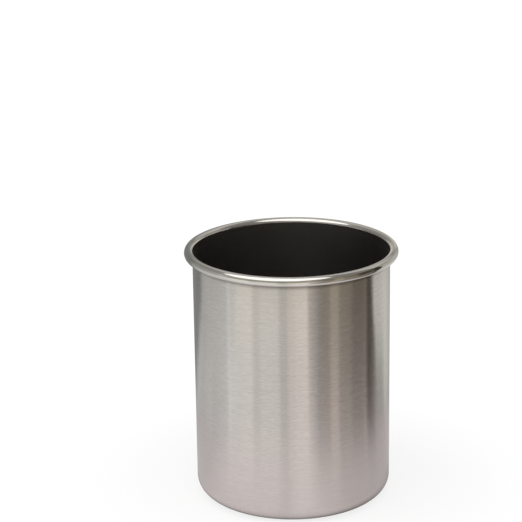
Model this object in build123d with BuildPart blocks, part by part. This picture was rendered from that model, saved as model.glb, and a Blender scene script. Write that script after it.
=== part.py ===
from build123d import *
import math
import os

# A steel utensil crock: one drawn shell whose top edge is rolled over a hoop of wire, on a thin non-slip pad.
# Millimetres, +Z up. The origin is in the middle of the pad's underside, on which the crock stands.

# The shell, as it is measured from outside
body_diameter = 127.0
shell_height = 166.0
corner_radius = 10.0
bead_diameter = 6.0
sheet_thickness = 0.7

# The rolled edge and the wire in it
curl_gap = 0.2
wire_clearance = 0.15
wire_joint_gap = 0.5

# The base and its pad
standing_ring_width = 1.4
step_bend_radius = 1.6
pad_thickness = 1.6
pad_proud = 0.6
pad_edge_gap = 0.6

# Radii and heights that follow
half_sheet = sheet_thickness / 2
body_radius = body_diameter / 2
bead_radius = bead_diameter / 2
inner_radius = body_radius - sheet_thickness
bead_centre_radius = inner_radius + bead_radius
bead_centre_height = pad_proud + shell_height - bead_radius

# The edge is rolled outwards until its cut end is curl_gap from the wall below the bead
curl_open_angle = math.degrees(math.acos(1 - (sheet_thickness + curl_gap) / bead_radius))
curl_sweep = 360 - curl_open_angle

# The flat middle of the base is raised so that the pad stands pad_proud below the standing ring.
# Two equal bends, one after the other, carry the sheet down that step.
recess_depth = pad_thickness - pad_proud
step_angle = math.degrees(math.acos(1 - recess_depth / (2 * step_bend_radius)))
step_width = 2 * step_bend_radius * math.sin(math.radians(step_angle))
recess_radius = body_radius - corner_radius - standing_ring_width - step_width
pad_radius = recess_radius - pad_edge_gap

os.makedirs("parts", exist_ok=True)

# The shell is drawn as the middle line of its sheet, from the axis out to the cut end of the rolled edge,
# given the sheet's thickness and turned about the axis.
with BuildPart() as crock_shell:
    with BuildSketch(Plane.XZ) as sheet_section:
        with BuildLine() as sheet_line:
            base_panel = Line((0, pad_thickness + half_sheet), (recess_radius, pad_thickness + half_sheet))
            step_down = JernArc(base_panel @ 1, base_panel % 1, step_bend_radius, -step_angle)
            step_out = JernArc(step_down @ 1, step_down % 1, step_bend_radius, step_angle)
            standing_ring = Line(step_out @ 1, (body_radius - corner_radius, pad_proud + half_sheet))
            corner = JernArc(standing_ring @ 1, standing_ring % 1, corner_radius - half_sheet, 90)
            wall = Line(corner @ 1, (body_radius - half_sheet, bead_centre_height))
            JernArc(wall @ 1, wall % 1, bead_radius - half_sheet, -curl_sweep)
        trace(line_width=sheet_thickness)
    revolve(axis=Axis.Z)
crock_shell.part.label = "crock_shell"
export_step(crock_shell.part, "parts/crock_shell.step")

# The wire is bent into a hoop whose ends butt at the back, and the edge is rolled over it.
wire_radius = bead_radius - sheet_thickness - wire_clearance
wire_joint_angle = math.degrees(wire_joint_gap / bead_centre_radius)
back_plane = Plane.YZ.rotated((0, 0, wire_joint_angle / 2))
with BuildPart() as rim_wire:
    with BuildSketch(back_plane) as wire_section:
        with Locations((bead_centre_radius, bead_centre_height)):
            Circle(wire_radius)
    revolve(axis=Axis.Z, revolution_arc=360 - wire_joint_angle)
rim_wire.part.label = "rim_wire"
export_step(rim_wire.part, "parts/rim_wire.step")

# The pad is a disc cut from sheet, glued face to face to the raised middle of the base.
with BuildPart() as base_pad:
    with BuildSketch(Plane.XY) as pad_outline:
        Circle(pad_radius)
    extrude(amount=pad_thickness)
base_pad.part.label = "base_pad"
export_step(base_pad.part, "parts/base_pad.step")
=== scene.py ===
import math
import bpy
from mathutils import Matrix, Vector


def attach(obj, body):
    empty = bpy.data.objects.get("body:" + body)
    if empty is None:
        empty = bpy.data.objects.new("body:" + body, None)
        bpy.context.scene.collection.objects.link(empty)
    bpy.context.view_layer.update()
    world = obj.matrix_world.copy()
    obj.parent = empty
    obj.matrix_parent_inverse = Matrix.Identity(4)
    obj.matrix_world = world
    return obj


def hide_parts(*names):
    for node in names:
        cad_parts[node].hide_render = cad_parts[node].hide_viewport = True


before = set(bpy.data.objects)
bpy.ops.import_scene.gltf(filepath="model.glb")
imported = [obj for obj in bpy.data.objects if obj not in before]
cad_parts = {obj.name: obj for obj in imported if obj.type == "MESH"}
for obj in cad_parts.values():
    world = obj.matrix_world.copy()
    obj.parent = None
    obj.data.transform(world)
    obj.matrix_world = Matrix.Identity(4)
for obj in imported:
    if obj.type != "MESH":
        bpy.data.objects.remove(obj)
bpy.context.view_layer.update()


# The camera stands a little over a metre in front of the crock and looks down on it by about seventeen
# degrees through a long lens, and the picture leans by under a degree, as the photograph does.
camera_place = (0.0, -1.193565, 0.532488)
sight_turn = math.radians(0.933)
sight_drop = math.radians(17.479)
sight_lean = math.radians(-0.818)
forward = Vector((
    -math.sin(sight_turn) * math.cos(sight_drop),
    math.cos(sight_turn) * math.cos(sight_drop),
    -math.sin(sight_drop),
))
level_right = Vector((math.cos(sight_turn), math.sin(sight_turn), 0.0))
level_up = level_right.cross(forward)
picture_right = level_right * math.cos(sight_lean) + level_up * math.sin(sight_lean)
picture_up = level_up * math.cos(sight_lean) - level_right * math.sin(sight_lean)
camera_data = bpy.data.cameras.new("camera")
camera_data.sensor_fit = "HORIZONTAL"
camera_data.sensor_width = 36.0
camera_data.lens = 134.22
camera_data.clip_start = 0.01
camera_data.clip_end = 50.0
camera = bpy.data.objects.new("camera", camera_data)
bpy.context.scene.collection.objects.link(camera)
camera_turn = Matrix((picture_right, picture_up, -forward)).transposed().to_4x4()
camera.matrix_world = Matrix.Translation(camera_place) @ camera_turn
bpy.context.scene.camera = camera
bpy.context.scene.view_settings.view_transform = "Standard"


# The floor is a wide pale sheet. It keeps the crock's soft shadow near its foot, and further out it is plain
# white to the camera. The steel sees it greyer towards the back and the sides, and darkest close round the
# foot, where a painted shadow darkens the paper for the steel alone. This draws the thin dark line along the
# crock's lower edge.
class Signal:
    """A value somewhere in a finish's nodes. Arithmetic on it adds Math nodes."""

    def __init__(self, finish, socket):
        self.finish = finish
        self.socket = socket

    def __add__(self, other):
        return self.finish.math("ADD", self, other)

    def __radd__(self, other):
        return self.finish.math("ADD", other, self)

    def __sub__(self, other):
        return self.finish.math("SUBTRACT", self, other)

    def __rsub__(self, other):
        return self.finish.math("SUBTRACT", other, self)

    def __mul__(self, other):
        return self.finish.math("MULTIPLY", self, other)

    def __rmul__(self, other):
        return self.finish.math("MULTIPLY", other, self)


class Finish:
    """The nodes of a material, or of the world. All of them come from the node method."""

    def __init__(self, owner):
        owner.use_nodes = True
        self.owner = owner
        self.tree = owner.node_tree
        self.tree.nodes.clear()

    def node(self, kind, settings=None, sockets=None, output=0):
        made = self.tree.nodes.new(kind)
        for name, value in (settings or {}).items():
            if name == "stops":
                ramp = made.color_ramp.elements
                while len(ramp) < len(value):
                    ramp.new(0.5)
                for element, (stop, shade) in zip(ramp, value):
                    element.position = stop
                    element.color = (shade, shade, shade, 1.0)
            else:
                setattr(made, name, value)
        for name, value in (sockets or {}).items():
            socket = made.inputs[name]
            if isinstance(value, Signal):
                self.tree.links.new(value.socket, socket)
            elif socket.type == "RGBA":
                socket.default_value = value + (1.0,)
            else:
                socket.default_value = value
        if len(made.outputs) == 0:
            return None
        return Signal(self, made.outputs[output])

    def math(self, operation, *values):
        return self.node("ShaderNodeMath", {"operation": operation}, dict(enumerate(values)))

    def soft_step(self, value, start, end, before, after):
        """Goes smoothly from before to after while the value goes from start to end."""
        ends = {"Value": value, 1: start, 2: end, 3: before, 4: after}
        return self.node("ShaderNodeMapRange", {"interpolation_type": "SMOOTHSTEP"}, ends)

    def mix_colours(self, share, first, second):
        return self.node("ShaderNodeMix", {"data_type": "RGBA"}, {0: share, 6: first, 7: second}, output=2)

    def mix_shaders(self, share, first, second):
        return self.node("ShaderNodeMixShader", None, {0: share, 1: first, 2: second})

    def place(self):
        return self.node("ShaderNodeTexCoord", output="Object")

    def along(self, axis, place):
        return self.node("ShaderNodeSeparateXYZ", None, {0: place}, output=axis)

    def length(self, vector):
        return self.node("ShaderNodeVectorMath", {"operation": "LENGTH"}, {0: vector}, output="Value")

    def by_camera(self):
        return self.node("ShaderNodeLightPath", output="Is Camera Ray")

    def looked_at(self):
        """1 where the camera looks, itself, in a gloss or through glass, and 0 for light on matt things."""
        by_gloss = self.node("ShaderNodeLightPath", output="Is Glossy Ray")
        by_glass = self.node("ShaderNodeLightPath", output="Is Transmission Ray")
        return self.math("MAXIMUM", self.math("MAXIMUM", self.by_camera(), by_gloss), by_glass)


def mesh_object(name, points, faces):
    mesh = bpy.data.meshes.new(name)
    mesh.from_pydata(points, [], faces)
    made = bpy.data.objects.new(name, mesh)
    bpy.context.scene.collection.objects.link(made)
    return made


floor_half = 3.0
floor_level = -0.00005
paper_colour = (0.86, 0.86, 0.86)
white_to_camera = (1.04, 1.04, 1.04)
white_in_steel = (1.03, 0.955, 1.0)
foot_edge = (0.055, 0.070)
shading_edge = (0.075, 0.24)
shading_under_foot = 0.9
shading_in_steel = 0.50
shading_to_camera = 0.22
# A painted shadow under the crock, which only the steel sees: its colour, its middle and its edge
painted_shadow_colour = (0.38, 0.38, 0.38)
painted_shadow_middle = (0.003, 0.016, 0.0)
painted_shadow_edge = (0.071, 0.079)
floor_corners = ((-1, -1), (1, -1), (1, 1), (-1, 1))
floor = mesh_object(
    "floor",
    [(x * floor_half, y * floor_half, floor_level) for x, y in floor_corners],
    [(0, 1, 2, 3)],
)
paper = Finish(bpy.data.materials.new("pale_floor"))
on_floor = paper.place()
from_axis = paper.length(on_floor)
floor_by_camera = paper.by_camera()

# The steel alone sees a painted shadow under the crock: the paper is darker there, reaching out a little
# behind it
from_painted_shadow = paper.node(
    "ShaderNodeVectorMath",
    {"operation": "DISTANCE"},
    {0: on_floor, 1: painted_shadow_middle},
    output="Value",
)
painted_shadow = paper.soft_step(from_painted_shadow, *painted_shadow_edge, 1.0, 0.0) * (1.0 - floor_by_camera)
matt_colour = paper.mix_colours(painted_shadow, paper_colour, painted_shadow_colour)
matt_paper = paper.node("ShaderNodeBsdfDiffuse", None, {"Color": matt_colour})

# The camera and the steel see the shaded paper near the foot, and glowing white instead of it further out
near_foot = paper.soft_step(from_axis, *foot_edge, shading_under_foot, shading_in_steel)
shading = near_foot - floor_by_camera * (near_foot - shading_to_camera)
shaded_share = paper.soft_step(from_axis, *shading_edge, 1.0, 0.0) * shading

# How bright the steel sees the floor, by the share of a turn from behind the crock round by its left, its
# front and its right
brightness_round = [
    (0.0, 0.70), (0.13, 0.48), (0.18, 0.59), (0.24, 0.66), (0.33, 0.96),
    (0.46, 0.97), (0.485, 0.84), (0.51, 1.00), (0.545, 1.00), (0.59, 0.84),
    (0.63, 0.71), (0.68, 0.70), (0.78, 0.60), (0.88, 0.54), (1.0, 0.70),
]
direction = paper.math("ARCTAN2", paper.along("X", on_floor), 0.0 - paper.along("Y", on_floor))
turn_share = direction * (0.5 / math.pi) + 0.5
level_round = paper.node("ShaderNodeValToRGB", {"stops": brightness_round}, {"Fac": turn_share})
white_tone = paper.mix_colours(floor_by_camera, white_in_steel, white_to_camera)
white_glow = paper.node("ShaderNodeEmission", None, {"Color": white_tone, "Strength": 1.0})
no_glow = paper.node("ShaderNodeEmission", None, {"Color": (0.0, 0.0, 0.0), "Strength": 0.0})
white_share = floor_by_camera + (1.0 - floor_by_camera) * level_round
white_paper = paper.mix_shaders(white_share, no_glow, white_glow)
seen_paper = paper.mix_shaders(shaded_share, white_paper, matt_paper)
floor_surface = paper.mix_shaders(paper.looked_at(), matt_paper, seen_paper)
paper.node("ShaderNodeOutputMaterial", None, {"Surface": floor_surface})
floor.data.materials.append(paper.owner)


# The room is an even white, which the camera and the steel see at full strength, and it lends matt surfaces
# a plain soft light. An oval soft lamp hangs above the crock, a little to the front and left.
room_fill = 0.62
world = bpy.data.worlds.new("white_room")
bpy.context.scene.world = world
room = Finish(world)
room_strength = room_fill + (1.0 - room_fill) * room.looked_at()
room_light = room.node("ShaderNodeBackground", None, {"Color": (1.0, 1.0, 1.0), "Strength": room_strength})
room.node("ShaderNodeOutputWorld", None, {"Surface": room_light})

lamp_data = bpy.data.lights.new("soft_lamp", "AREA")
lamp_data.shape = "ELLIPSE"
lamp_data.size = 1.14
lamp_data.size_y = 0.94
lamp_data.energy = 3.4
soft_lamp = bpy.data.objects.new("soft_lamp", lamp_data)
soft_lamp.location = (-0.22, -0.33, 0.75)
soft_lamp.visible_camera = False
bpy.context.scene.collection.objects.link(soft_lamp)


# Upright cards stand in a ring round the crock, as a studio's flats do, and plain panels hang overhead. Only
# the steel's reflections see them. They are pale in front and on the left, dark and warm on the right, and
# dark at the left back, where they hang higher the further forward they are.
card_finish = Finish(bpy.data.materials.new("card_grey"))
card_colour = card_finish.node("ShaderNodeAttribute", {"attribute_name": "glow"})
card_light = card_finish.node("ShaderNodeEmission", None, {"Color": card_colour, "Strength": 1.0})
card_finish.node("ShaderNodeOutputMaterial", None, {"Surface": card_light})
card_finish.owner.cycles.emission_sampling = "NONE"


def glowing_sheet(name, points, faces, colours):
    """A sheet with its own colour at each point, for the steel's reflections alone."""
    made = mesh_object(name, points, faces)
    glow = made.data.color_attributes.new("glow", "FLOAT_COLOR", "POINT")
    for entry, colour in zip(glow.data, colours):
        entry.color = colour + (1.0,)
    made.data.materials.append(card_finish.owner)
    made.visible_camera = False
    made.visible_diffuse = False
    made.visible_transmission = False
    made.visible_volume_scatter = False
    made.visible_shadow = False


def ring_of_cards(name, distance, cards):
    """Upright cards round the crock at one distance. A card has its two azimuths in degrees from the camera
    towards the right, its two brightnesses, its tints low down and high up, and pairs of a height and how
    much of the brightness is left there."""
    points = []
    faces = []
    colours = []
    for start, end, first, last, (low_tint, high_tint), heights in cards:
        slices = max(2, round((end - start) / degrees_a_slice))
        rows = len(heights)
        for i in range(slices):
            corners = [len(points) + i * rows + k for k in range(rows - 1)]
            faces += [(corner, corner + rows, corner + rows + 1, corner + 1) for corner in corners]
        for i in range(slices + 1):
            turn = math.radians(start + (end - start) * i / slices)
            brightness = first + (last - first) * i / slices
            for height, share in heights:
                up = min(1.0, max(0.0, (height - tint_change[0]) / (tint_change[1] - tint_change[0])))
                tint = [low + (high - low) * up for low, high in zip(low_tint, high_tint)]
                points.append((distance * math.sin(turn), -distance * math.cos(turn), height))
                colours.append(tuple(brightness * share * part for part in tint))
    glowing_sheet(name, points, faces, colours)


degrees_a_slice = 3
ring_radius = 0.175
board_radius = 0.172
tint_change = (0.08, 0.15)
cool = ((1.0, 1.03, 1.03), (1.0, 1.03, 1.00))
plain = ((1.0, 1.01, 0.98), (1.0, 0.99, 0.91))
warm = ((1.0, 0.97, 0.94), (1.0, 0.96, 0.85))
brown = ((1.0, 0.91, 0.84), (1.0, 0.91, 0.68))

# Each kind of card from its foot to its top, as pairs of a height and a share of the card's brightness
pale_card = [
    (0.002, 1.00), (0.050, 1.08), (0.095, 1.00), (0.134, 0.95),
    (0.151, 0.62), (0.200, 0.62), (0.235, 0.50),
]
low_pale_card = [
    (0.002, 1.10), (0.030, 1.25), (0.070, 1.06), (0.134, 1.00),
    (0.151, 0.62), (0.235, 0.56),
]
front_card = [
    (0.002, 0.96), (0.080, 0.97), (0.115, 1.13), (0.140, 0.93),
    (0.162, 0.46), (0.200, 0.46), (0.235, 0.65),
]
turning_card = [
    (0.002, 1.30), (0.040, 1.15), (0.090, 1.02), (0.150, 0.96),
    (0.180, 0.70), (0.210, 0.66), (0.235, 0.90),
]
dark_card = [
    (0.002, 1.42), (0.025, 1.60), (0.042, 1.38), (0.090, 1.05),
    (0.150, 0.96), (0.180, 0.70), (0.210, 0.66), (0.235, 0.90),
]
black_card = [
    (0.002, 1.42), (0.025, 1.60), (0.042, 1.38), (0.090, 1.05),
    (0.122, 1.10), (0.142, 0.38), (0.235, 0.36),
]
side_card = [
    (0.002, 0.72), (0.022, 0.57), (0.045, 0.75), (0.070, 1.00),
    (0.105, 1.20), (0.130, 0.85), (0.175, 0.80), (0.235, 0.60),
]
far_side_card = [
    (0.002, 0.80), (0.022, 1.00), (0.050, 1.06), (0.075, 1.08),
    (0.105, 1.08), (0.130, 0.80), (0.175, 0.80), (0.235, 0.60),
]
back_card = [(0.002, 0.80), (0.165, 0.90), (0.195, 1.10), (0.235, 0.35)]
hung_low = [(0.002, 1.90), (0.018, 1.40), (0.040, 1.00), (0.110, 0.90), (0.235, 0.70)]
hung_middle = [(0.002, 2.05), (0.036, 2.20), (0.056, 1.05), (0.110, 0.90), (0.235, 0.70)]
hung_high = [(0.002, 2.20), (0.070, 2.25), (0.088, 1.05), (0.110, 0.90), (0.235, 0.70)]
low_board = [(0.001, 1.40), (0.060, 1.00), (0.085, 0.90)]
ring_of_cards(
    "grey_cards",
    ring_radius,
    [
        (-180, -166, 0.56, 0.46, plain, back_card),
        (-166, -150, 0.40, 0.34, cool, hung_low),
        (-150, -132, 0.30, 0.30, cool, hung_low),
        (-132, -120.5, 0.29, 0.29, cool, hung_middle),
        (-120.5, -110, 0.28, 0.28, cool, hung_high),
        (-110, -92, 0.52, 0.62, cool, low_pale_card),
        (-92, -66.5, 0.62, 0.74, cool, pale_card),
        (-66.5, -63, 0.95, 0.95, cool, pale_card),
        (-63, -56, 0.80, 0.86, cool, pale_card),
        (-56, -38, 0.91, 0.96, plain, front_card),
        (-38, -31, 0.77, 0.78, plain, front_card),
        (-31, -12, 0.87, 0.85, plain, front_card),
        (-12, -4, 0.68, 0.68, plain, front_card),
        (-4, 3, 0.82, 0.86, warm, front_card),
        (3, 15, 0.90, 0.96, warm, front_card),
        (15, 28, 0.66, 0.30, warm, turning_card),
        (28, 37, 0.31, 0.31, brown, dark_card),
        (37, 46, 0.44, 0.45, brown, dark_card),
        (46, 61, 0.30, 0.27, brown, dark_card),
        (61, 77, 0.20, 0.20, brown, black_card),
        (77, 81, 0.29, 0.29, brown, black_card),
        (81, 91, 0.06, 0.10, brown, black_card),
        (91, 98, 0.74, 0.66, plain, side_card),
        (98, 117, 0.63, 0.69, plain, side_card),
        (117, 140, 0.76, 0.46, plain, far_side_card),
        (140, 166, 0.58, 0.70, plain, back_card),
        (166, 180, 0.66, 0.56, plain, back_card),
    ],
)

# A low dark board stands just inside the ring on the right
ring_of_cards("low_board", board_radius, [(88, 96, 0.12, 0.24, brown, low_board)])

# A panel has its left, right, near and far edges, its height, and its brightness at the near and far edge
overhead_tint = (1.0, 0.97, 0.93)
for name, left, right, near, far, height, near_level, far_level in (
    ("ceiling_left", -3.0, 0.15, -3.0, 3.0, 0.80, 0.44, 0.22),
    ("ceiling_right", 0.15, 3.0, -3.0, 3.0, 0.80, 0.20, 0.30),
    ("pale_strip", -0.38, 0.95, 0.28, 1.45, 0.79, 0.66, 0.44),
):
    levels = (near_level, near_level, far_level, far_level)
    glowing_sheet(
        name,
        [(left, near, height), (right, near, height), (right, far, height), (left, far, height)],
        [(0, 3, 2, 1)],
        [tuple(level * part for part in overhead_tint) for level in levels],
    )


# The crock's shell is one deep cup drawn from a disc of stainless sheet: a raised middle underneath, a ring
# to stand on, a rounded corner and a straight wall, brushed round and round outside. Its top edge is rolled
# outwards into a bead over a hoop of wire and polished.
sheet = 0.0007
half_sheet = sheet / 2
body_radius = 0.0635
shell_height = 0.166
corner_radius = 0.010
bead_radius = 0.003
pad_thickness = 0.0016
pad_proud = 0.0006
standing_ring = 0.0014
step_bend = 0.0016
curl_gap = 0.0002
curl_open = math.acos(1 - (sheet + curl_gap) / bead_radius)
step_turn = math.acos(1 - (pad_thickness - pad_proud) / (2 * step_bend))
flat_radius = body_radius - corner_radius - standing_ring - 2 * step_bend * math.sin(step_turn)
bead_height = pad_proud + shell_height - bead_radius
collar_width = 0.0004
spokes = 240
layout_edge = 0.01
layout_span = 0.98


class SheetLine:
    """The middle line of the bent sheet as radius, height and heading, drawn as runs and bends one by one."""

    def __init__(self, radius, height):
        self.radius = radius
        self.height = height
        self.heading = 0.0
        self.points = [(radius, height, 0.0)]

    def run(self, length, steps):
        """A straight stretch. A narrow collar at either end keeps the smooth shading of the bends off it."""
        collar = min(collar_width, length / 4)
        stops = [collar + (length - 2 * collar) * i / steps for i in range(steps + 1)] + [length]
        for stop in stops:
            across = self.radius + stop * math.cos(self.heading)
            up = self.height + stop * math.sin(self.heading)
            self.points.append((across, up, self.heading))
        self.radius, self.height = self.points[-1][:2]
        return len(self.points) - 1

    def bend(self, radius, turn, steps):
        side = math.copysign(1.0, turn)
        centre_across = self.radius - side * radius * math.sin(self.heading)
        centre_up = self.height + side * radius * math.cos(self.heading)
        for i in range(1, steps + 1):
            heading = self.heading + turn * i / steps
            across = centre_across + side * radius * math.sin(heading)
            up = centre_up - side * radius * math.cos(heading)
            self.points.append((across, up, heading))
        self.radius, self.height, self.heading = self.points[-1]
        return len(self.points) - 1

    def side(self, offset):
        """The points of the sheet's face this far from the middle line: the outer one where it is above 0."""
        return [(r + offset * math.sin(a), z - offset * math.cos(a)) for r, z, a in self.points]


def spin(name, section, zones):
    """Turns a section's closed line of radius and height about the axis. The line starts and ends on the
    axis, and zones gives each stretch of it a material number."""
    points = [(0.0, 0.0, section[0][1])]
    rings = []
    for radius, height in section[1:-1]:
        rings.append(len(points))
        for i in range(spokes):
            turn = 2 * math.pi * i / spokes
            points.append((radius * math.sin(turn), -radius * math.cos(turn), height))
    points.append((0.0, 0.0, section[-1][1]))
    top = len(points) - 1
    end = len(rings)

    # Each face's corners are kept as a spoke and a place along the section, for a bake layout
    faces = []
    corners_at = []
    for i in range(spokes):
        after = (i + 1) % spokes
        faces.append((0, rings[0] + after, rings[0] + i))
        corners_at.append(((i + 0.5, 0), (i + 1, 1), (i, 1)))
        for k in range(end - 1):
            faces.append((rings[k] + i, rings[k] + after, rings[k + 1] + after, rings[k + 1] + i))
            corners_at.append(((i, k + 1), (i + 1, k + 1), (i + 1, k + 2), (i, k + 2)))
        faces.append((rings[-1] + i, rings[-1] + after, top))
        corners_at.append(((i, end), (i + 1, end), (i + 0.5, end + 1)))
    made = mesh_object(name, points, faces)
    along = [0.0]
    for (r0, z0), (r1, z1) in zip(section, section[1:]):
        along.append(along[-1] + math.hypot(r1 - r0, z1 - z0))
    layout = made.data.uv_layers.new(name="OFBake")
    for polygon, zone, corners in zip(made.data.polygons, zones * spokes, corners_at):
        polygon.use_smooth = True
        polygon.material_index = zone
        for loop, (spoke, place) in zip(polygon.loop_indices, corners):
            across = layout_edge + layout_span * spoke / spokes
            up = layout_edge + layout_span * along[place] / along[-1]
            layout.data[loop].uv = (across, up)
    return made


middle_line = SheetLine(0.0, pad_thickness + half_sheet)
middle_line.run(flat_radius, 4)
middle_line.bend(step_bend, -step_turn, 5)
middle_line.bend(step_bend, step_turn, 5)
foot_end = middle_line.run(standing_ring, 1)
middle_line.bend(corner_radius - half_sheet, math.pi / 2, 14)
wall_end = middle_line.run(bead_height - middle_line.height, 8)
curl_end = middle_line.bend(bead_radius - half_sheet, curl_open - 2 * math.pi, 46)

# The section goes out along the sheet's lower and outer face, over the cut edge in the curl, and back along
# the other face
OUTSIDE, BEAD, INSIDE, UNDERSIDE = range(4)
outer_zones = [UNDERSIDE] * foot_end + [OUTSIDE] * (wall_end - foot_end) + [INSIDE] * (curl_end - wall_end)
inner_zones = [BEAD] * (curl_end - wall_end) + [INSIDE] * wall_end
shell = spin(
    "shell",
    middle_line.side(half_sheet) + middle_line.side(-half_sheet)[::-1],
    outer_zones + [BEAD] + inner_zones,
)
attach(shell, "root")
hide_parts("crock_shell")


def grain(finish, place, length, thickness, detail):
    """Brush lines round the axis: a noise of this length along the sheet and this thickness across it."""
    flat = finish.node("ShaderNodeVectorMath", {"operation": "MULTIPLY"}, {0: place, 1: (1.0, 1.0, 0.0)})
    across = finish.along("Z", place) + finish.length(flat)
    drawn = finish.node(
        "ShaderNodeCombineXYZ",
        None,
        {
            0: finish.along("X", place) * (1 / length),
            1: finish.along("Y", place) * (1 / length),
            2: across * (1 / thickness),
        },
    )
    sockets = {"Vector": drawn, "Scale": 1.0, "Detail": detail, "Roughness": 0.6}
    return finish.node("ShaderNodeTexNoise", None, sockets)


def bump(finish, relief):
    """A relief given in metres."""
    return finish.node("ShaderNodeBump", None, {"Strength": 1.0, "Distance": 1.0, "Height": relief})


# Brushing draws the outside's reflections out up and down. Its lines are fainter towards the foot, and a
# painted shade darkens the band right under the bead.
brushed_low = (0.545, 0.506, 0.477)
brushed_high = (0.69, 0.647, 0.616)
# Painted shade: the colour that the band right under the bead is darkened to, and where the band lies
painted_shade_under_bead = (0.22, 0.205, 0.19)
painted_shade_band = (0.1568, 0.1604)
faint_lines = 0.5
full_lines = 1.0
lines_grow = (0.015, 0.090)
brushed = Finish(bpy.data.materials.new("brushed_outside"))
place = brushed.place()
fine_lines = grain(brushed, place, length=0.0035, thickness=0.00050, detail=3.0)
broad_lines = grain(brushed, place, length=0.020, thickness=0.0012, detail=2.0)
cloud = brushed.node("ShaderNodeTexNoise", None, {"Vector": place, "Scale": 26.0, "Detail": 2.0})
swell = brushed.node("ShaderNodeTexNoise", None, {"Vector": place, "Scale": 14.0, "Detail": 1.0})
height = brushed.along("Z", place)
line_strength = brushed.soft_step(height, *lines_grow, faint_lines, full_lines)
both_lines = 1.8 * (fine_lines - 0.5) + 0.7 * (broad_lines - 0.5)
tone = 0.5 + line_strength * both_lines + 0.35 * (cloud - 0.5)
# How much painted shade there is: none below the band, all of it at its top under the bead
painted_shade_share = brushed.soft_step(height, *painted_shade_band, 0.0, 1.0)
steel_colour = brushed.mix_colours(tone, brushed_low, brushed_high)
steel = brushed.node(
    "ShaderNodeBsdfPrincipled",
    None,
    {
        "Base Color": brushed.mix_colours(painted_shade_share, steel_colour, painted_shade_under_bead),
        "Metallic": 1.0,
        "Roughness": 0.23 + 0.075 * (fine_lines - 0.5) + 0.047 * (cloud - 0.5),
        "Anisotropic": 0.95,
        "Anisotropic Rotation": 0.25,
        "Normal": bump(brushed, 0.0000065 * fine_lines + 0.000005 * broad_lines + 0.00016 * swell),
    },
)
brushed.node("ShaderNodeOutputMaterial", None, {"Surface": steel})


def smooth_steel(name, roughness, colour, line_depth, one_way=0.0):
    """Smoother steel. A finish worked one way, round the axis, spreads its reflections up and down."""
    finish = Finish(bpy.data.materials.new(name))
    place = finish.place()
    lines = grain(finish, place, length=0.030, thickness=0.0004, detail=2.0)
    cloud = finish.node("ShaderNodeTexNoise", None, {"Vector": place, "Scale": 30.0, "Detail": 3.0})
    tone = 0.5 + 0.7 * (lines - 0.5) + 0.4 * (cloud - 0.5)
    paler = tuple(part * 1.06 for part in colour)
    surface = finish.node(
        "ShaderNodeBsdfPrincipled",
        None,
        {
            "Base Color": finish.mix_colours(tone, colour, paler),
            "Metallic": 1.0,
            "Roughness": roughness + 0.2 * roughness * (cloud - 0.5) + 0.2 * roughness * (lines - 0.5),
            "Anisotropic": one_way,
            "Anisotropic Rotation": 0.25,
            "Normal": bump(finish, line_depth * lines),
        },
    )
    finish.node("ShaderNodeOutputMaterial", None, {"Surface": surface})
    return finish.owner


shell.data.materials.append(brushed.owner)
shell.data.materials.append(smooth_steel("polished_bead", 0.13, (0.66, 0.635, 0.60), line_depth=0.000002))
# The inside is given a much darker steel colour than the outside: painted shade in the deep cup
shell.data.materials.append(smooth_steel("smooth_inside_painted_shade", 0.31, (0.35, 0.335, 0.32), 0.000001, one_way=0.2))
shell.data.materials.append(smooth_steel("plain_underside", 0.34, (0.55, 0.53, 0.50), line_depth=0.000006))


# A hoop of drawn steel wire lies inside the bead and stiffens the rim. The sheet's edge is rolled over it,
# and its ends butt together at the back. Its shape is the CAD model's own.
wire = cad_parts["rim_wire"]
wire.data.materials.clear()
wire.data.materials.append(smooth_steel("drawn_wire", 0.38, (0.50, 0.48, 0.46), line_depth=0.000005))


# The pad is a disc cut from black rubber sheet and glued into the raised middle of the base. It stands a
# little proud, so that the crock doesn't slide or scratch the worktop.
pad_gap = 0.0006
pad_radius = flat_radius - pad_gap
pad_edge = 0.0003
pad_edge_steps = 4
clean_rubber = (0.022, 0.022, 0.024)
dusty_rubber = (0.045, 0.045, 0.047)
pad_section = [(0.0, 0.0), (pad_radius * 0.5, 0.0), (pad_radius - pad_edge, 0.0)]
for i in range(1, pad_edge_steps + 1):
    turn = math.pi / 2 * i / pad_edge_steps
    across = pad_radius - pad_edge + pad_edge * math.sin(turn)
    up = pad_edge - pad_edge * math.cos(turn)
    pad_section.append((across, up))
pad_section += [(pad_radius, pad_thickness), (pad_radius * 0.5, pad_thickness), (0.0, pad_thickness)]
pad = spin("pad", pad_section, [0] * (len(pad_section) - 1))
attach(pad, "root")
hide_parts("base_pad")
rubber = Finish(bpy.data.materials.new("black_rubber"))
on_pad = rubber.place()
pebbles = rubber.node("ShaderNodeTexVoronoi", None, {"Vector": on_pad, "Scale": 1400.0})
dust = rubber.node("ShaderNodeTexNoise", None, {"Vector": on_pad, "Scale": 90.0, "Detail": 4.0})
rubber_surface = rubber.node(
    "ShaderNodeBsdfPrincipled",
    None,
    {
        "Base Color": rubber.mix_colours(dust, clean_rubber, dusty_rubber),
        "Roughness": 0.72 + 0.2 * (dust - 0.5),
        "Normal": bump(rubber, 0.00006 * pebbles + 0.00002 * dust),
    },
)
rubber.node("ShaderNodeOutputMaterial", None, {"Surface": rubber_surface})
pad.data.materials.append(rubber.owner)
